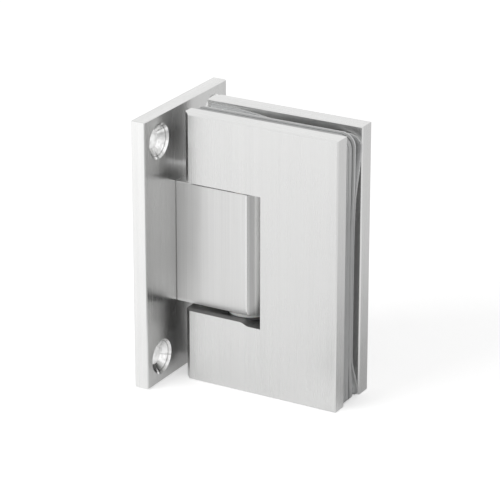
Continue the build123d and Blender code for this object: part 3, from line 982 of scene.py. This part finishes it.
def gasket_sheet(settings, order, node, thickness, face):
    """One gasket: the sheet's section carried along its outline, then lifted by the wave.

    Its points carry a tone of painted light. The outer edge has painted highlights and shade, one tone
    along the top and one down the far side, with a smooth step between them, and both grow faint
    downwards. The faces have painted light where the sheet bows out or bends to the rear plate.
    """
    low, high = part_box(node)
    is_rear = order == len(GASKETS) - 1
    outer, inner = gasket_edges(settings, low, high, settings.rear_drop if is_rear else 0.0)
    profile = sheet_profile(thickness)
    across = inner - outer
    width = np.linalg.norm(across, axis=1)
    unit = across / width[:, None]
    reach = profile[None, :, 0] * width[:, None] + profile[None, :, 1]
    flat = outer[:, None, :] + unit[:, None, :] * reach[:, :, None]
    x, z = flat[..., 0], flat[..., 1]
    room = REAR_PLATE[0][1] - settings.plate_gap - thickness - face
    shares = lift_shares(settings, high[0], x, z)
    y = face + profile[None, :, 2] + gasket_wave(settings, order, shares, room, z)
    piece = closed_strip(node.replace("gasket", "vinyl"), np.stack([x, y, z], -1))

    edge_points = len(WALL_POINTS) + ROUND_STEPS
    # Painted highlights and shade along the outer edge
    rims = np.ones((2, len(profile)))
    for rim, tones in zip(rims, (TOP_EDGE_SHADING[order], FAR_EDGE_SHADING[order])):
        rim[:edge_points], rim[-edge_points:] = tones
        rim[-1] = rim[0]
    is_far = smooth_step(x, *FAR_START)
    rim = rims[0] * (1 - is_far) + rims[1] * is_far
    tone = 1 + (rim - 1) * (RIM_FAINT + (1 - RIM_FAINT) * smooth_step(z, *RIM_RISE))
    # Painted light on faces that bow out or bend to the rear plate
    lifted = np.maximum(BOW_BRIGHT * shares[0] * is_rear, FLARE_BRIGHT * shares[2])
    tone[:, edge_points:-edge_points] += lifted[:, edge_points:-edge_points]
    piece.data.attributes.new(PAINTED_LIGHT_ATTRIBUTE, "FLOAT", "POINT").data.foreach_set("value", tone.ravel())
    return piece


# Operators


class HINGE_OT_brushed_plates(bpy.types.Operator):
    """Brushes the wall plate, the pivot block and both clamp plates"""

    bl_idname = "hinge.brushed_plates"
    bl_label = "Brushed plates"

    def execute(self, context):
        dress(["wall_plate"], wall_plate_finish())
        dress(["pivot_block"], block_finish())
        dress(CLAMP_PLATES, clamp_plate_finish())
        return {"FINISHED"}


class HINGE_OT_screws(bpy.types.Operator):
    """Finishes the screws that hold the block, the pin and the glass"""

    bl_idname = "hinge.screws"
    bl_label = "Screws"

    def execute(self, context):
        settings = context.scene.hinge_finish
        steel = settings.screw_steel
        for name, nodes, axis in (
            ("block screw steel", BLOCK_SCREWS, 0),
            ("clamp screw steel", CLAMP_SCREWS, 1),
            ("pin screw steel", PIN_SCREWS, 1),
        ):
            dress(nodes, turned_steel(name, nodes, steel, SCREW_ROUGHNESS, axis))
        return {"FINISHED"}


class HINGE_OT_bearings(bpy.types.Operator):
    """Finishes the pivot pin, the bushes and the thrust washers"""

    bl_idname = "hinge.bearings"
    bl_label = "Pin and bushes"

    def execute(self, context):
        settings = context.scene.hinge_finish
        pin = ["pivot_pin"]
        dress(pin, turned_steel("ground pin steel", pin, settings.steel, PIN_ROUGHNESS, 2))
        dress(BUSHES, nylon_finish("pale nylon", settings.nylon))
        dress(WASHERS, nylon_finish("dark nylon", settings.washer_nylon))
        return {"FINISHED"}


class HINGE_OT_springs(bpy.types.Operator):
    """Finishes the leaf springs and their keeper"""

    bl_idname = "hinge.springs"
    bl_label = "Springs"

    def execute(self, context):
        settings = context.scene.hinge_finish
        keeper = ["spring_keeper"]
        blue = settings.spring_blue
        dress(LEAF_SPRINGS, turned_steel("spring steel", LEAF_SPRINGS, blue, SPRING_ROUGHNESS, 2))
        dress(keeper, turned_steel("keeper steel", keeper, settings.steel, KEEPER_ROUGHNESS, 2))
        return {"FINISHED"}


class HINGE_OT_gaskets(bpy.types.Operator):
    """Builds the four vinyl gaskets between the clamp plates"""

    bl_idname = "hinge.gaskets"
    bl_label = "Gaskets"

    def execute(self, context):
        settings = context.scene.hinge_gaskets
        finish = gasket_finish()
        front_low, front_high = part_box(GASKETS[0])
        thin = front_high[1] - front_low[1]
        face = front_low[1]
        for order, node in enumerate(GASKETS):
            low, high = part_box(node)
            # The bowed rear sheet's box is deeper than the sheet, so a thin one takes the front one's
            thickness = thin if node.endswith("thin") else high[1] - low[1]
            piece = gasket_sheet(settings, order, node, thickness, face)
            piece.data.materials.append(finish.material)
            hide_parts(node)
            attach(piece, JOINT["child"])
            face += thickness
        return {"FINISHED"}


class HINGE_OT_studio(bpy.types.Operator):
    """Sets the floor, the surround, the soft lights and the camera"""

    bl_idname = "hinge.studio"
    bl_label = "Studio"

    def execute(self, context):
        settings = context.scene.hinge_studio
        self.floor(settings)
        self.surround(context, settings)
        self.lights(settings)
        self.camera(context, settings)
        context.scene.view_settings.view_transform = "Standard"
        return {"FINISHED"}

    def floor(self, settings):
        """A level matt square that keeps its shadow, with a glow that whitens it where it is seen."""
        half = settings.floor_size / 2
        level = BASE_BOX[0][2]
        corners = [(-half, -half, level), (half, -half, level), (half, half, level), (-half, half, level)]
        mesh = bpy.data.meshes.new("floor")
        mesh.from_pydata(corners, [], [(0, 1, 2, 3)])
        floor = bpy.data.objects.new("floor", mesh)
        bpy.context.scene.collection.objects.link(floor)
        finish = Finish("pale floor")
        seen, mirrored, through = finish.outputs(
            "ShaderNodeLightPath", ("Is Camera Ray", "Is Glossy Ray", "Is Transmission Ray")
        )
        # Painted shade that darkens the floor in reflections only
        dim = self.painted_reflection_shade(finish) * mirrored
        glow = seen * settings.floor_glow + mirrored.either(through) * settings.floor_shine * (1 - dim)
        finish.set(
            Base_Color=finish.shade(grey(settings.floor_colour)[:3], 1 - dim),
            Roughness=1.0,
            Specular_IOR_Level=0.0,
            Emission_Strength=1.0,
            Emission_Color=finish.shade(grey(1.0)[:3], glow),
        )
        mesh.materials.append(finish.material)

    def painted_reflection_shade(self, finish):
        """Painted shade: how much darker the floor is in reflections: a soft wedge in front, a little at the back,
        deeper near the object.

        Both lie to the right. The wedge is the product of smooth steps of the slope from FIELD_TIP and
        of the distance in front of it.
        """
        x, y, _ = finish.parts(finish.place())
        slope = (x - FIELD_TIP[0]) / (FIELD_TIP[1] - y)
        wedge = slope.step(*WEDGE_LEFT) * (1 - slope.step(*WEDGE_RIGHT)) * (-1 * y).step(*WEDGE_FRONT)
        back = x.step(*BACK_X) * y.step(*BACK_Y) * (1 - y.step(*BACK_END))
        return wedge * WEDGE_DEPTH + back * (BACK_DEPTH + (1 - x.step(*BACK_NEAR)) * BACK_NEAR_DEPTH)

    def surround(self, context, settings):
        """White to the camera and in reflections, and a plain soft light on matt faces."""
        world = bpy.data.worlds.new("surround")
        context.scene.world = world
        world.use_nodes = True
        tree = Tree(world.node_tree)
        seen, mirrored, through = tree.outputs(
            "ShaderNodeLightPath", ("Is Camera Ray", "Is Glossy Ray", "Is Transmission Ray")
        )
        shown = seen.either(mirrored).either(through)
        background = tree.nodes["Background"]
        background.inputs["Color"].default_value = grey(1.0)
        light = settings.seamless_light
        tree.fill(background.inputs["Strength"], light + shown * (1 - light))

    def lights(self, settings):
        """Two large soft lights, high at the front left and at the right, which metal doesn't mirror."""
        for name, place, size, level in (
            ("key", KEY_PLACE, KEY_SIZE, settings.key_light),
            ("fill", FILL_PLACE, FILL_SIZE, settings.fill_light),
        ):
            data = bpy.data.lights.new(name, "AREA")
            data.shape = "RECTANGLE"
            data.size, data.size_y = size
            data.energy = level * math.pi * size[0] * size[1]
            lamp = bpy.data.objects.new(name, data)
            lamp.location = place
            lamp.visible_glossy = False
            away = Vector(place) - Vector(settings.target)
            lamp.rotation_euler = away.to_track_quat("Z", "Y").to_euler()
            bpy.context.scene.collection.objects.link(lamp)

    def camera(self, context, settings):
        """The photo's view: turned and raised round the target, framed without any shift."""
        data = bpy.data.cameras.new("camera")
        data.sensor_width = SENSOR_WIDTH
        data.lens = settings.focal_px / PHOTO_WIDTH_PX * SENSOR_WIDTH
        data.clip_start = settings.distance * CLIP_NEAR
        data.clip_end = settings.distance * CLIP_FAR
        back = Vector((
            math.sin(settings.yaw) * math.cos(settings.pitch),
            -math.cos(settings.yaw) * math.cos(settings.pitch),
            math.sin(settings.pitch),
        ))
        camera = bpy.data.objects.new("camera", data)
        camera.location = Vector(settings.target) + back * settings.distance
        camera.rotation_euler = back.to_track_quat("Z", "Y").to_euler()
        context.scene.collection.objects.link(camera)
        context.scene.camera = camera


class HINGE_PT_panel(bpy.types.Panel):
    """Sizes, colours and steps of the hinge"""

    bl_label = "Wall-to-Glass Hinge"
    bl_idname = "HINGE_PT_panel"
    bl_space_type = "VIEW_3D"
    bl_region_type = "UI"
    bl_category = "Hinge"

    def draw(self, context):
        for key in GROUPS:
            group = getattr(context.scene, key)
            box = self.layout.box()
            for name in group.bl_rna.properties.keys():
                if name not in ("rna_type", "name"):
                    box.prop(group, name)
        for operator in OPERATORS:
            self.layout.operator(operator.bl_idname)


OPERATORS = (
    HINGE_OT_studio,
    HINGE_OT_brushed_plates,
    HINGE_OT_screws,
    HINGE_OT_bearings,
    HINGE_OT_springs,
    HINGE_OT_gaskets,
)
GROUPS = {"hinge_finish": HingeFinish, "hinge_gaskets": HingeGaskets, "hinge_studio": HingeStudio}


def register():
    """Registers the property groups, the operators and the panel."""
    for key, group in GROUPS.items():
        bpy.utils.register_class(group)
        setattr(bpy.types.Scene, key, PointerProperty(type=group))
    for entry in (*OPERATORS, HINGE_PT_panel):
        bpy.utils.register_class(entry)


def unregister():
    """Takes the panel, the operators and the property groups back out."""
    for entry in reversed((*OPERATORS, HINGE_PT_panel)):
        bpy.utils.unregister_class(entry)
    for key, group in GROUPS.items():
        delattr(bpy.types.Scene, key)
        bpy.utils.unregister_class(group)


def main():
    """Builds the looks step by step."""
    register()
    bpy.ops.hinge.studio()
    bpy.ops.hinge.brushed_plates()
    bpy.ops.hinge.screws()
    bpy.ops.hinge.bearings()
    bpy.ops.hinge.springs()
    bpy.ops.hinge.gaskets()


if __name__ == "__main__":
    main()
